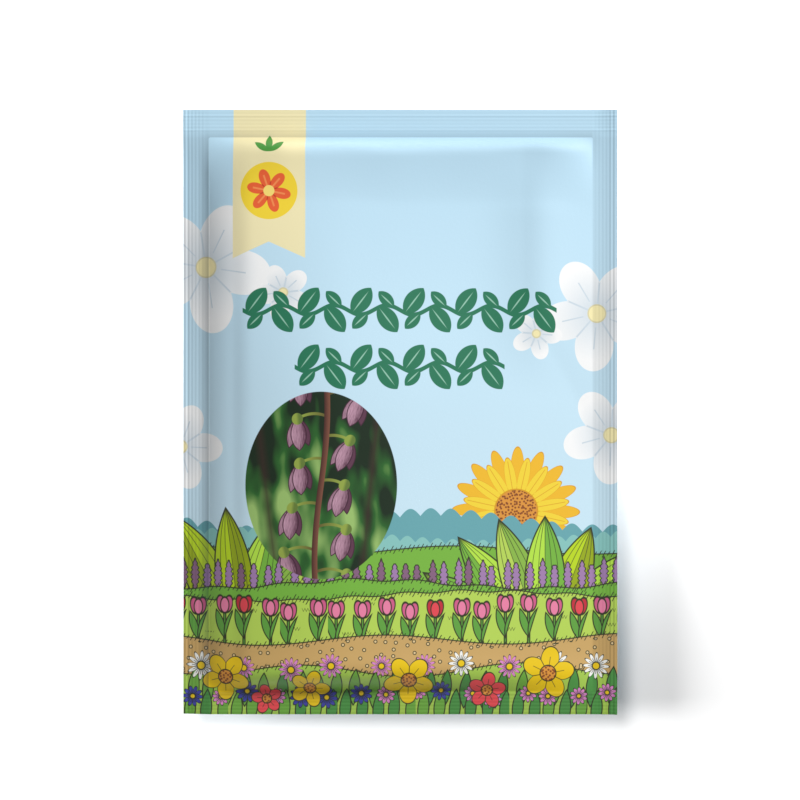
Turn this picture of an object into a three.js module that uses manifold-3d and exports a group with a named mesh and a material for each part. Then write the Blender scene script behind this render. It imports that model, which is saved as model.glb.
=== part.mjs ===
// A printed flower bulb packet: two film webs heat-sealed along all four sides round three loose bulbs.
// It lies on its back. Millimetres, +Z up, +Y towards the packet's top edge, +X to its right.
// The origin is on the surface that it lies on, under the middle of the packet.
import * as THREE from "three";
import { mergeVertices } from "three/addons/utils/BufferGeometryUtils.js";
import Module from "manifold-3d";

const wasm = await Module();
wasm.setup();

// Driving dimensions
const packet = { width: 150, height: 209 };
const film = 0.3; // thicker than the real laminate of about 0.1 mm, so that it is a sound solid
const seal = { left: 9, right: 8.5, top: 9.75, bottom: 8 };
const panel = {
  left: -packet.width / 2 + seal.left,
  right: packet.width / 2 - seal.right,
  top: packet.height / 2 - seal.top,
  bottom: -packet.height / 2 + seal.bottom,
};

// The front web stands off its seams as a sum of forms. Each form's height is its own, and a reach is
// how far in from that seam it is climbed.
const front = {
  // a steep shoulder along the left seam, climbed more slowly in the corner below the top seam
  shoulder: { height: 4.62, more: 0.62, left: 14.5, bottom: 5, top: 7, topAtLeft: 27, corner: 28 },
  // from the shoulder's crest a gentle fall to the right. It ends this far from the right seam at the
  // top, and at the seam lower down.
  fall: { end: 24, rows: [45, 110] },
  // the belly that the bulbs push up. It starts a little in from the left shoulder.
  belly: { height: 5.85, start: 9, left: 40, right: 82, bottom: 12 },
  // a roll of film just below the top seam
  roll: { height: 2.88, crest: 3.8, fall: 18, left: 28, right: 12 },
  // a flat ridge down the right half, which fades out above the belly and below the top seam
  ridge: { height: 1.95, x: 51, left: 14, right: 60, seam: 17, low: [5, 40], high: [3, 28] },
  // how far below the top seam the contents start to press the film up, and where they do it fully
  down: [-10, 95],
};

// The contents press the back web down, so it is flat where the packet lies.
const back = { height: 11.7, left: 33, right: 33, top: 37, bottom: 37 };
const sealPlane = film + back.height; // the height at which the two webs meet

// Crimp ribs, pressed into every seal along its length, as ridges that stand on the outer faces
const rib = { count: 6, pitch: 1.05, margin: 1.75, width: 0.8, height: 0.25, root: 0.15 };

// Rows of facets across the panel, closer together on the shoulders
const facets = { columns: 18, rows: 24 };

// The bulbs, squat globes of two fleshy scales. Each stands on its flat basal plate.
const bulb = {
  radius: 15,
  height: 19.5,
  plate: 4.5, // radius of the flat basal plate
  crest: 4.2, // radius of the rim round the hollow that the old stem left
  hollow: 3.2, // depth of that hollow
  groove: 0.1, // how far the joint between the two scales sinks in, as a share of the radius
  grooveWidth: 0.24, // in radians
  segments: 28,
};
const bulbs = [
  { x: -26, y: -31, size: 1, turn: 25 },
  { x: 4, y: -38, size: 0.92, turn: 110 },
  { x: -12, y: 2, size: 1.02, turn: 160 },
];

// Colours and finish
const looks = {
  front: { color: 0xb9dcea, roughness: 0.35, metalness: 0 },
  back: { color: 0xd3e6ec, roughness: 0.35, metalness: 0 },
  bulb: { color: 0xd9c79c, roughness: 0.7, metalness: 0 },
};

// How much of a height is climbed this far in: steeply at the seam, and level at the reach
function climb(distance, reach) {
  return 1 - (1 - THREE.MathUtils.clamp(distance / reach, 0, 1)) ** 2;
}

// How far in from each seam a point of the packet lies
function insetsOf(x, y) {
  return {
    left: x - panel.left,
    right: panel.right - x,
    top: panel.top - y,
    bottom: y - panel.bottom,
  };
}

// How far the back web stands off the plane of the seals at a point of the packet
function backRise(x, y) {
  const sides = Object.entries(insetsOf(x, y));
  return sides.reduce((height, [side, inset]) => height * climb(inset, back[side]), back.height);
}

// The same for the front web
function frontRise(x, y) {
  const { smoothstep, clamp } = THREE.MathUtils;
  const { shoulder, fall, belly, roll, ridge } = front;
  const { left, right, top, bottom } = insetsOf(x, y);
  if (Math.min(left, right, top, bottom) <= 0) return 0;
  const down = smoothstep(top, ...front.down);

  const nearLeft = smoothstep(shoulder.corner - left, 0, shoulder.corner);
  const slack = shoulder.top + (shoulder.topAtLeft - shoulder.top) * nearLeft;
  const shoulderEdge = climb(left, shoulder.left) * climb(top, slack) * climb(bottom, shoulder.bottom);
  const end = fall.end * (1 - smoothstep(top, ...fall.rows));
  const fallen = clamp((right - end) / (panel.right - panel.left - shoulder.left - end), 0, 1);
  const shoulderRise = (shoulder.height + shoulder.more * down) * shoulderEdge * fallen;

  const bellyAcross = climb(left - belly.start, belly.left) * clamp(right / belly.right, 0, 1);
  const bellyRise = belly.height * bellyAcross * climb(bottom, belly.bottom) * down;

  const pastCrest = clamp(1 - (top - roll.crest) / roll.fall, 0, 1) ** 1.4;
  const rollAlong = top < roll.crest ? climb(top, roll.crest) : pastCrest;
  const rollRise = roll.height * rollAlong * smoothstep(left, 0, roll.left) * climb(right, roll.right);

  const ridgeWidth = x < ridge.x ? ridge.left : ridge.right;
  const ridgeAcross = Math.exp(-(((x - ridge.x) / ridgeWidth) ** 2)) * clamp(right / ridge.seam, 0, 1);
  const ridgeRise = ridge.height * ridgeAcross * smoothstep(y, ...ridge.low) * smoothstep(top, ...ridge.high);

  return shoulderRise + bellyRise + rollRise + ridgeRise;
}

// Facet lines across one direction: the two cut edges, the two seams, and lines between the seams
function stations(edge, seamLow, seamHigh, count) {
  const lines = [-edge];
  for (let i = 0; i <= count; i++) {
    const share = (1 - Math.cos((Math.PI * i) / count)) / 2;
    lines.push(seamLow + (seamHigh - seamLow) * share);
  }
  lines.push(edge);
  return lines;
}

// One web without its ribs. direction is 1 for the front web, which rises, and -1 for the back one.
function webShell(rise, direction) {
  const columns = stations(packet.width / 2, panel.left, panel.right, facets.columns);
  const rows = stations(packet.height / 2, panel.bottom, panel.top, facets.rows);
  const acrossSteps = columns.length - 1;
  const alongSteps = rows.length - 1;
  const geometry = new THREE.BoxGeometry(acrossSteps, alongSteps, 1, acrossSteps, alongSteps, 1);
  const place = geometry.getAttribute("position");
  for (let i = 0; i < place.count; i++) {
    const x = columns[Math.round(place.getX(i) + acrossSteps / 2)];
    const y = rows[Math.round(place.getY(i) + alongSteps / 2)];
    const outside = place.getZ(i) * direction > 0;
    const offPlane = rise(x, y) + (outside ? film : 0);
    place.setXYZ(i, x, y, sealPlane + direction * offPlane);
  }
  return geometry;
}

// One crimp rib, as a long ridge with its root in the web, along +Y and centred on the origin
function ribRidge(length, direction) {
  const half = rib.width / 2;
  const section = new THREE.Shape([
    new THREE.Vector2(-half, -rib.root),
    new THREE.Vector2(half, -rib.root),
    new THREE.Vector2(half, 0),
    new THREE.Vector2(0, rib.height),
    new THREE.Vector2(-half, 0),
  ]);
  const ridge = new THREE.ExtrudeGeometry(section, { depth: length, bevelEnabled: false });
  ridge.translate(0, 0, -length / 2);
  ridge.rotateX(direction * (Math.PI / 2)); // the length along Y, and the ridge up or down
  return ridge;
}

// All the ribs of one web: parallel lines set in from each of the four edges
function ribRidges(direction) {
  const outerFace = sealPlane + direction * film;
  const ridges = [];
  for (let i = 0; i < rib.count; i++) {
    const inset = rib.margin + i * rib.pitch;
    for (const side of [-1, 1]) {
      const upright = ribRidge(packet.height, direction);
      upright.translate(side * (packet.width / 2 - inset), 0, outerFace);
      const level = ribRidge(packet.width, direction);
      level.rotateZ(Math.PI / 2);
      level.translate(0, side * (packet.height / 2 - inset), outerFace);
      ridges.push(upright, level);
    }
  }
  return ridges;
}

function toSolid(geometry) {
  const bare = geometry.clone();
  bare.deleteAttribute("normal");
  bare.deleteAttribute("uv");
  const merged = mergeVertices(bare, 1e-5);
  return new wasm.Manifold(
    new wasm.Mesh({
      numProp: 3,
      vertProperties: merged.getAttribute("position").array,
      triVerts: new Uint32Array(merged.index.array),
    }),
  );
}

function toGeometry(solid) {
  const mesh = solid.getMesh();
  const geometry = new THREE.BufferGeometry();
  geometry.setAttribute("position", new THREE.BufferAttribute(mesh.vertProperties, 3));
  geometry.setIndex(new THREE.BufferAttribute(mesh.triVerts, 1));
  geometry.computeVertexNormals();
  return geometry;
}

function webGeometry(rise, direction) {
  const shell = toSolid(webShell(rise, direction));
  const crimped = ribRidges(direction).reduce((solid, ridge) => solid.add(toSolid(ridge)), shell);
  return toGeometry(crimped);
}

// A bulb's outline from the middle of its basal plate up to the bottom of the hollow in its crown
function bulbProfile() {
  const { radius, height, plate, crest, hollow } = bulb;
  const side = new THREE.SplineCurve([
    new THREE.Vector2(plate, 0),
    new THREE.Vector2(radius * 0.72, height * 0.12),
    new THREE.Vector2(radius, height * 0.42),
    new THREE.Vector2(radius * 0.86, height * 0.74),
    new THREE.Vector2(crest, height),
    new THREE.Vector2(crest * 0.4, height - hollow * 0.7),
  ]);
  const outline = side.getPoints(14);
  outline[0].set(plate, 0);
  return [new THREE.Vector2(0, 0), ...outline, new THREE.Vector2(0, height - hollow)];
}

function bulbGeometry(size) {
  const geometry = new THREE.LatheGeometry(bulbProfile(), bulb.segments);
  geometry.rotateX(Math.PI / 2); // the lathe's axis is Y, and the bulb's is Z
  const place = geometry.getAttribute("position");
  for (let i = 0; i < place.count; i++) {
    const x = place.getX(i);
    const y = place.getY(i);
    const z = place.getZ(i);
    const height = Math.abs(z) < 1e-4 ? 0 : z;
    const awayFromGroove = Math.abs(Math.abs(Math.atan2(y, x)) - Math.PI / 2);
    const depth = bulb.groove * Math.exp(-((awayFromGroove / bulb.grooveWidth) ** 2));
    const pinch = height === 0 ? 1 : 1 - depth;
    place.setXYZ(i, size * x * pinch, size * y * pinch, size * height);
  }
  return geometry;
}

function material({ color, roughness, metalness }) {
  return new THREE.MeshStandardMaterial({ color, roughness, metalness });
}

function piece(name, geometry, look) {
  const mesh = new THREE.Mesh(geometry, material(look));
  mesh.name = name;
  return mesh;
}

const model = new THREE.Group();
model.add(piece("front_web", webGeometry(frontRise, 1), looks.front));
model.add(piece("back_web", webGeometry(backRise, -1), looks.back));

bulbs.forEach(({ x, y, size, turn }, index) => {
  const mesh = piece(`bulb_${index + 1}`, bulbGeometry(size), looks.bulb);
  mesh.rotation.z = THREE.MathUtils.degToRad(turn);
  mesh.position.set(x, y, film); // on the inside of the back web
  model.add(mesh);
});

export default model;
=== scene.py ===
from math import atan2, cos, pi, radians, sin

import bmesh
import bpy
import numpy as np
from mathutils import Matrix, Vector


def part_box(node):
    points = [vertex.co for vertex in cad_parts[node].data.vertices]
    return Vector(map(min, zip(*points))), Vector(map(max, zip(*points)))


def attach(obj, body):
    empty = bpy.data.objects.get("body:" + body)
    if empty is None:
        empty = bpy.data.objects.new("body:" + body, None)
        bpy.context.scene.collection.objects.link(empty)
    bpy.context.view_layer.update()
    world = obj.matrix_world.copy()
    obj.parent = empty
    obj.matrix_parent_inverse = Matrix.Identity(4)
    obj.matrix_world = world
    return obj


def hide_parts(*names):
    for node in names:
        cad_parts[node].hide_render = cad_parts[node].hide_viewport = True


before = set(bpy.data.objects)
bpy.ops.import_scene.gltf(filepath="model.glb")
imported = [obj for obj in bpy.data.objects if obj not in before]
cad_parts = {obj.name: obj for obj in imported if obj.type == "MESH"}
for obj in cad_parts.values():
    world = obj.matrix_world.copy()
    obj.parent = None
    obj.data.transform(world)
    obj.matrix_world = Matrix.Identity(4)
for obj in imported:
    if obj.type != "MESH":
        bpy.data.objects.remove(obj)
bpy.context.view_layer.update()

# The back web, which carries the packet. It is a rectangle of printed laminate, crimped to the front
# web along all four sides. The contents push it down, so that it lies flat in the middle.
MM = 0.001  # sizes and places are in millimetres
FILM = 0.12  # the laminate's thickness
FUSED = 0.01  # half the thickness of the bond between the two webs
HALF_WIDTH, HALF_HEIGHT = (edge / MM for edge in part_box("back_web")[1].xy)
SEAL_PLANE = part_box("back_web")[1].z / MM
SEAL_LEFT, SEAL_RIGHT, SEAL_TOP, SEAL_BOTTOM = 9.0, 8.5, 9.75, 8.0
PANEL_LEFT, PANEL_RIGHT = -HALF_WIDTH + SEAL_LEFT, HALF_WIDTH - SEAL_RIGHT
PANEL_BOTTOM, PANEL_TOP = -HALF_HEIGHT + SEAL_BOTTOM, HALF_HEIGHT - SEAL_TOP
RIB_COUNT, RIB_PITCH, RIB_MARGIN = 6, 1.25, 0.25

# How high the ribs of each seal stand, from the cut edge inwards
LEFT_RIBS = (0.12, 0.08, 0.055, 0.045, 0.04, 0.03)
RIGHT_RIBS = (0.1, 0.1, 0.035, 0.03, 0.03, 0.02)
TOP_RIBS = (0.03, 0.12, 0.045, 0.025, 0.045, 0.1)
BOTTOM_RIBS = (0.1, 0.07, 0.08, 0.07, 0.07, 0.09)
RIB_END = 0.4  # how far from the seam the ribs start to fade

# The left seal hangs at a slope, which is less in its top corner, and is level along the cut edge. The
# right one turns up towards its edge. The top and bottom ones hang a little. Both side seals also sway
# up and down along their length.
LEFT_LEAN, LEFT_LEAN_MORE, LEFT_CORNER, LEFT_LEVEL = 0.05, 0.16, (-7, 10), 1.4
RIGHT_LIFT, TOP_LEAN, BOTTOM_LEAN = 0.013, 0.02, 0.04
LEFT_SWAY, LEFT_WAVE, LEFT_START = 0.3, 14, 2.0
RIGHT_SWAY, RIGHT_WAVE, RIGHT_START = 0.25, 17, 0.6
SWAY_REACH = 8


def insets(x, y):
    """How far in from the left, right, top and bottom seam each point of the panel lies."""
    return x - PANEL_LEFT, PANEL_RIGHT - x, PANEL_TOP - y, y - PANEL_BOTTOM


def climb(inset, reach):
    """The share of a height that is climbed this far in: steep at the seam, level at the reach."""
    return 1 - (1 - np.clip(inset / reach, 0, 1)) ** 2


def eased(inset, low, high):
    """0 up to one inset and 1 from another on, with no crease at either."""
    share = np.clip((inset - low) / (high - low), 0, 1)
    return share * share * (3 - 2 * share)


def crimp(inset, depths):
    """The wave that the sealing jaws leave in one seal, this far in from the cut edge."""
    turn = (inset - RIB_MARGIN) / RIB_PITCH
    line = np.clip(np.floor(turn), 0, RIB_COUNT - 1).astype(int)
    wave = 0.5 - 0.5 * np.cos(2 * np.pi * turn)
    return np.where((turn > 0) & (turn < RIB_COUNT), wave * np.asarray(depths)[line], 0.0)


def seal_height(x, y):
    """The height of the fused seal, which both webs share: it droops, sways a little and is crimped."""
    left, right, top, bottom = (np.clip(-inset, 0, None) for inset in insets(x, y))
    lean = LEFT_LEAN + LEFT_LEAN_MORE * eased(PANEL_TOP - y, *LEFT_CORNER)
    droop = RIGHT_LIFT * right**2 - lean * np.minimum(left, SEAL_LEFT - LEFT_LEVEL)
    droop -= TOP_LEAN * top + BOTTOM_LEAN * bottom
    sway = RIGHT_SWAY * np.sin(y / RIGHT_WAVE + RIGHT_START) * np.minimum(right / SWAY_REACH, 1)
    sway += LEFT_SWAY * np.sin(y / LEFT_WAVE + LEFT_START) * np.minimum(left / SWAY_REACH, 1)
    ribs = crimp(x + HALF_WIDTH, LEFT_RIBS) + crimp(HALF_WIDTH - x, RIGHT_RIBS)
    ribs += crimp(HALF_HEIGHT - y, TOP_RIBS) + crimp(y + HALF_HEIGHT, BOTTOM_RIBS)
    outside = np.maximum(np.maximum(left, right), np.maximum(top, bottom))
    return SEAL_PLANE + droop + sway + ribs * np.clip(outside / RIB_END, 0, 1)


MARGIN_LINES = 4  # lines of the mesh in the bare margin outside the ribs
SEAM_LINE = 0.35  # a line this far at each side of a seam keeps its bend sharp


def grid_lines(half, low_seam, high_seam, per_rib, step):
    """Places of the lines of a web's mesh in one direction: close together across the ribs."""
    ribbed = RIB_MARGIN + RIB_COUNT * RIB_PITCH
    across_ribs = np.linspace(RIB_MARGIN, ribbed, RIB_COUNT * per_rib + 1)
    margin = np.linspace(0, RIB_MARGIN, MARGIN_LINES, endpoint=False)
    panel = np.linspace(low_seam, high_seam, int((high_seam - low_seam) / step) + 1)
    sides = [way * (half - lines) for way in (-1, 1) for lines in (margin, across_ribs)]
    beside = [seam + way * SEAM_LINE for seam in (low_seam, high_seam) for way in (-1, 1)]
    return np.unique(np.round(np.concatenate([*sides, panel, beside]), 3))


def web(name, height, per_rib, step):
    """A web as a grid whose height is a function of place, with the laminate's thickness."""
    columns = grid_lines(HALF_WIDTH, PANEL_LEFT, PANEL_RIGHT, per_rib, step)
    rows = grid_lines(HALF_HEIGHT, PANEL_BOTTOM, PANEL_TOP, per_rib, step)
    across, along = len(columns) - 1, len(rows) - 1
    sheet = bmesh.new()
    bmesh.ops.create_grid(sheet, x_segments=across, y_segments=along, size=1.0)
    mesh = bpy.data.meshes.new(name)
    sheet.to_mesh(mesh)
    sheet.free()
    corners = np.empty(len(mesh.vertices) * 3)
    mesh.vertices.foreach_get("co", corners)
    corners = corners.reshape(-1, 3)
    x = columns[np.rint((corners[:, 0] + 1) / 2 * across).astype(int)]
    y = rows[np.rint((corners[:, 1] + 1) / 2 * along).astype(int)]
    mesh.vertices.foreach_set("co", (np.stack((x, y, height(x, y)), axis=1) * MM).ravel())
    mesh.shade_smooth()
    piece = bpy.data.objects.new(name, mesh)
    bpy.context.scene.collection.objects.link(piece)
    wall = piece.modifiers.new("laminate", "SOLIDIFY")
    wall.thickness = FILM * MM
    wall.offset = -1
    wall.material_offset = 1
    wall.material_offset_rim = 1
    return piece


FLAT_INSETS = (33, 33, 37, 37)  # how far in from the left, right, top and bottom seam the flat starts


def back_height(x, y):
    """The outer face of the back web, from the seams down to the flat that it lies on."""
    share = 1.0
    for inset, reach in zip(insets(x, y), FLAT_INSETS):
        share = share * climb(inset, reach)
    outside = FILM + FUSED
    return seal_height(x, y) - outside - (SEAL_PLANE - outside) * share


back_film = web("back_film", back_height, per_rib=5, step=2.4)
back_film.data.flip_normals()


class Ink:
    """A socket of a material: an amount, a place or a colour. Sums of amounts add Math nodes."""

    def __init__(self, tree, socket):
        self.tree = tree
        self.socket = socket

    def node(self, kind, settings, sockets, output=0):
        """Adds a node, with its settings first and then a value or a link for its sockets."""
        made = self.tree.nodes.new(kind)
        for name, value in settings.items():
            setattr(made, name, value)
        for name, value in sockets.items():
            if isinstance(value, Ink):
                self.tree.links.new(value.socket, made.inputs[name])
            else:
                made.inputs[name].default_value = value
        return Ink(self.tree, made.outputs[output])

    def math(self, operation, *values, clamp=False):
        settings = {"operation": operation, "use_clamp": clamp}
        return self.node("ShaderNodeMath", settings, dict(enumerate((self, *values))))

    def vector(self, operation, *values, output=0):
        sockets = dict(enumerate((self, *values)))
        return self.node("ShaderNodeVectorMath", {"operation": operation}, sockets, output)

    def __add__(self, other):
        return self.math("ADD", other)

    def __sub__(self, other):
        return self.math("SUBTRACT", other)

    def __rsub__(self, other):
        return self.math("MULTIPLY_ADD", -1.0, other)

    def __mul__(self, other):
        return self.math("MULTIPLY", other)

    def __truediv__(self, other):
        return self.math("DIVIDE", other)

    def __abs__(self):
        return self.math("ABSOLUTE")

    __radd__ = __add__
    __rmul__ = __mul__

    def apart(self):
        """The X, Y and Z of a place, or the red, green and blue of a colour."""
        split = self.tree.nodes.new("ShaderNodeSeparateXYZ")
        self.tree.links.new(self.socket, split.inputs[0])
        return [Ink(self.tree, socket) for socket in split.outputs]


def start_material(name):
    """A new material: its Principled shader, and the place on the packet in millimetres."""
    material = bpy.data.materials.new(name)
    material.use_nodes = True
    tree = material.node_tree
    shader = tree.nodes["Principled BSDF"]
    here = Ink(tree, tree.nodes.new("ShaderNodeTexCoord").outputs["Object"])
    return material, shader, here.vector("MULTIPLY", (1 / MM, 1 / MM, 1 / MM))


def flattened(place):
    """The same place with no height, for a print that was made on the flat film."""
    return place.vector("MULTIPLY", (1, 1, 0))


def colour(red, green, blue):
    """A printed colour, given as it looks on a screen."""
    return tuple((part / 255) ** 2.2 for part in (red, green, blue)) + (1,)


def lay(under, over, share):
    """One colour laid over another."""
    return share.node("ShaderNodeMix", {"data_type": "RGBA"}, {0: share, 6: under, 7: over}, output=2)


SOFT = 0.16  # over how many millimetres the edge of a printed shape fades
OUTLINE = colour(52, 56, 34)


def covers(gap, grow=0.0):
    """1 inside a printed shape and 0 outside, given the distance to the shape's edge."""
    return gap.math("MULTIPLY_ADD", -1 / SOFT, 0.5 + grow / SOFT, clamp=True)


def printed(under, gap, fill, line=None, width=0.4):
    """A printed shape, with a drawn line along its edge where one is asked for."""
    if line is None:
        return lay(under, fill, covers(gap))
    return lay(lay(under, line, covers(gap, width / 2)), fill, covers(gap, -width / 2))


def rounded_box(place, x, y, half_wide, half_high, corner):
    """The distance to the edge of a rectangle with round corners."""
    out = place.vector("SUBTRACT", (x, y, 0)).vector("ABSOLUTE")
    out = out.vector("SUBTRACT", (half_wide - corner, half_high - corner, 0))
    return out.vector("MAXIMUM", (0, 0, 0)).vector("LENGTH", output=1) - corner


# Painted shade: the print is darkened where it is sealed, least of all in the top seal, and darker still
# in the crease outside each seam, where the panel's shoulder shades the seal. In the seals the darkening
# is partly the fused film's deeper tone and partly painted shade. The crease's painted shade is deepest at
# the left, weaker along the bottom and nearly gone at the right, on the sides away from the key light at
# the upper right. Each value is the share of the shade colour that is painted over the print.
SHADE = colour(24, 44, 56)
SEAL_TONE_AND_SHADE, TOP_SEAL_LESS, RIGHT_SEAL_LESS, LEAST_TONE_AND_SHADE = 0.13, 0.1, 0.04, 0.03
CREASE_SHADE, CREASE_LESS_PER_MM, TOP_CREASE_SHADE, BOTTOM_CREASE_LESS = 0.14, 0.005, 0.16, 0.6
CREASE_FADE = 0.26  # what the crease loses in each millimetre outwards
TONE_BLEND, TOP_BLEND, RIGHT_BLEND = 2.0, 12.0, 3.5  # the millimetres over which a tone sets in


def seal_tone_and_shade(place):
    """How much painted shade lies over the print: none on the panel, and some in the seals and creases."""
    x, y, _ = place.apart()
    wide, high = (PANEL_RIGHT - PANEL_LEFT) / 2, (PANEL_TOP - PANEL_BOTTOM) / 2
    middle = ((PANEL_LEFT + PANEL_RIGHT) / 2, (PANEL_BOTTOM + PANEL_TOP) / 2)
    beyond = rounded_box(flattened(place), *middle, wide, high, corner=0.5)
    # The crease's painted shade, deepest at the left seam and less towards the right
    crease = x.math("MULTIPLY_ADD", -CREASE_LESS_PER_MM, CREASE_SHADE, clamp=True)
    crease = crease.math("MAXIMUM", LEAST_TONE_AND_SHADE)
    near_top = (y - PANEL_TOP + TOP_BLEND).math("DIVIDE", TOP_BLEND, clamp=True)
    crease = near_top.math("MULTIPLY_ADD", TOP_CREASE_SHADE, crease - crease * near_top)
    near_bottom = (PANEL_BOTTOM + TONE_BLEND - y).math("DIVIDE", TONE_BLEND, clamp=True)
    crease = near_bottom.math("MULTIPLY_ADD", -BOTTOM_CREASE_LESS, 1.0) * crease
    past_top = (y - PANEL_TOP).math("DIVIDE", TONE_BLEND, clamp=True)
    tone = past_top.math("MULTIPLY_ADD", -TOP_SEAL_LESS, SEAL_TONE_AND_SHADE)
    past_right = x - PANEL_RIGHT
    less = past_right.math("DIVIDE", TONE_BLEND, clamp=True) * -RIGHT_SEAL_LESS
    tone = (less + tone).math("MAXIMUM", LEAST_TONE_AND_SHADE)
    shown = past_right.math("LESS_THAN", 0.0) + past_right.math("DIVIDE", RIGHT_BLEND, clamp=True)
    depth = beyond.math("MULTIPLY_ADD", -CREASE_FADE, 1.0, clamp=True)
    return depth * crease + shown * tone - covers(beyond, grow=0.1)


PEEL_SCALE, PEEL_DEPTH, WEAR_SCALE = 0.9, 0.12, 0.05
FILM_ROUGHNESS, WORN_MORE = 0.42, 0.1


def finish_film(shader, place, print_and_shade):
    """The gloss of the laminate over its print, with the faint orange peel of the outer layer."""
    # Painted shade in the seals and along the seams, laid over the print
    print_and_shade = lay(print_and_shade, SHADE, seal_tone_and_shade(place))
    peel = place.node("ShaderNodeTexNoise", {}, {"Vector": place, "Scale": PEEL_SCALE, "Detail": 2.0})
    wear = place.node("ShaderNodeTexNoise", {}, {"Vector": place, "Scale": WEAR_SCALE, "Detail": 3.0})
    bump = peel.node("ShaderNodeBump", {}, {"Height": peel, "Strength": 0.12, "Distance": PEEL_DEPTH * MM})
    rough = wear.math("MULTIPLY_ADD", WORN_MORE, FILM_ROUGHNESS)
    for name, value in (("Base Color", print_and_shade), ("Normal", bump), ("Roughness", rough)):
        place.tree.links.new(value.socket, shader.inputs[name])
    shader.inputs["Coat Weight"].default_value = 0.06
    shader.inputs["Coat Roughness"].default_value = 0.22


def disc(flat, x, y, radius):
    """The distance to a circle."""
    return flat.vector("DISTANCE", (x, y, 0), output=1) - radius


def blade(flat, base, tip, bulge, other_bulge=None):
    """The distances to the two arcs that bound a leaf. A side with a negative bulge bends inwards."""
    chord = Vector(tip) - Vector(base)
    side = Vector((-chord.y, chord.x)).normalized()
    arcs = []
    for width, way in ((bulge, side), (bulge if other_bulge is None else other_bulge, -side)):
        radius = ((chord.length / 2) ** 2 + width**2) / (2 * width)
        centre = (Vector(base) + Vector(tip)) / 2 + way * (width - radius)
        gap = disc(flat, centre.x, centre.y, abs(radius))
        arcs.append(gap if width > 0 else gap * -1)
    return arcs


def leaf(flat, base, tip, bulge, other_bulge=None):
    """The distance to a leaf's edge."""
    near, far = blade(flat, base, tip, bulge, other_bulge)
    return near.math("MAXIMUM", far)


# The back is printed with a white panel, left bare, over a picture of bulbs set in soil.
DEEP_GREEN, TURF_GREEN = colour(38, 120, 88), colour(122, 184, 66)
FRAME_CORNER, FRAME_LINE, INSIDE_FRAME = 5, 0.9, 0.5
TURF_DOWN, TURF_DEPTH = 58, 3.2  # how far below the middle it lies, and how thick it is
SHOOTS = ((-34, 4.0), (0, 9.0), (34, 15.0))  # each printed bulb's place, and how far its shoot has grown
SHOOT_FOOT, BULB_FOOT, BULB_TIP = -72, -84, -69.5

back_print, shader, place = start_material("back_print")
flat = flattened(place)
x, y, _ = flat.apart()
height = y.math("MULTIPLY_ADD", 0.005, 0.5, clamp=True)
picture = lay(colour(208, 234, 247), colour(184, 221, 240), height)
bare = rounded_box(flat, 0, 26, 56, 56, FRAME_CORNER)
picture = printed(picture, bare, colour(250, 251, 250), DEEP_GREEN, FRAME_LINE)
patch = rounded_box(flat, 0, -64, 56, 24, FRAME_CORNER)
picture = printed(picture, patch, colour(226, 242, 251), DEEP_GREEN, FRAME_LINE)
turf = (x * 0.11).math("SINE").math("MULTIPLY_ADD", 0.9, y) + TURF_DOWN
turf = turf.math("MAXIMUM", patch + INSIDE_FRAME)
picture = printed(picture, turf, TURF_GREEN, OUTLINE)
crumb = {"Vector": flat, "Scale": 0.5, "Detail": 3.0}
loam = flat.node("ShaderNodeTexNoise", {"noise_dimensions": "2D"}, crumb)
loam = loam.math("MULTIPLY_ADD", 4.0, -1.5, clamp=True)
loam = lay(colour(126, 84, 52), colour(160, 114, 72), loam)
picture = printed(picture, turf + TURF_DEPTH, loam, OUTLINE)
for across, shoot in SHOOTS:
    tip = (across + shoot * 0.12, SHOOT_FOOT + shoot + 6)
    sprout = leaf(flat, (across, SHOOT_FOOT), tip, 1.0 + shoot * 0.07)
    picture = printed(picture, sprout, colour(104, 168, 66), OUTLINE)
    scale = leaf(flat, (across, BULB_FOOT), (across, BULB_TIP), 4.2)
    scale = scale.math("MINIMUM", disc(flat, across, -78.5, 4.8))
    picture = printed(picture, scale, colour(226, 200, 150), OUTLINE)
finish_film(shader, place, picture)
back_film.data.materials.append(back_print)

# The inside of both webs is the sealing layer: unprinted, milky polyethylene.
sealing_layer, shader, place = start_material("sealing_layer")
haze = place.node("ShaderNodeTexNoise", {}, {"Vector": place, "Scale": 0.3, "Detail": 4.0})
tint = lay(colour(226, 230, 232), colour(244, 246, 246), haze)
place.tree.links.new(tint.socket, shader.inputs["Base Color"])
shader.inputs["Roughness"].default_value = 0.5
back_film.data.materials.append(sealing_layer)
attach(back_film, "root")
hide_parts("back_web")

# The bulbs, which lie loose on the back web. Each is a squat globe of two clasping fleshy scales, with a
# hollow where the old stem stood, and the dry stubs of last year's roots round its basal plate.
BULB_SIDE = (
    (0, 0), (4.5, 0), (7.9, 0.8), (11.2, 2.4), (13.9, 5.0), (15.2, 8.2), (14.8, 11.4), (13.2, 14.4),
    (10.0, 17.2), (6.6, 19.1), (4.9, 19.6), (3.6, 19.3), (2.4, 18.0), (1.7, 16.8), (0, 16.3),
)
BULB_HEIGHT = 19.5
GROOVE_DEPTH, GROOVE_WIDTH = 0.13, 0.17  # the joint of the two scales: a share of the radius, radians
FLUTES, FLUTE_DEPTH, LOBES, LOBE_DEPTH = 17, 0.006, 5, 0.012
ROOTS, ROOT_THICK, ROOT_THIN, ROOT_LENGTH = 17, 0.75, 0.3, 3.2
ROOT_RING, ROOT_LEAN = 5.4, 78
TURNS = (25, 110, 160)  # how each bulb is turned about its upright axis, in degrees


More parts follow.
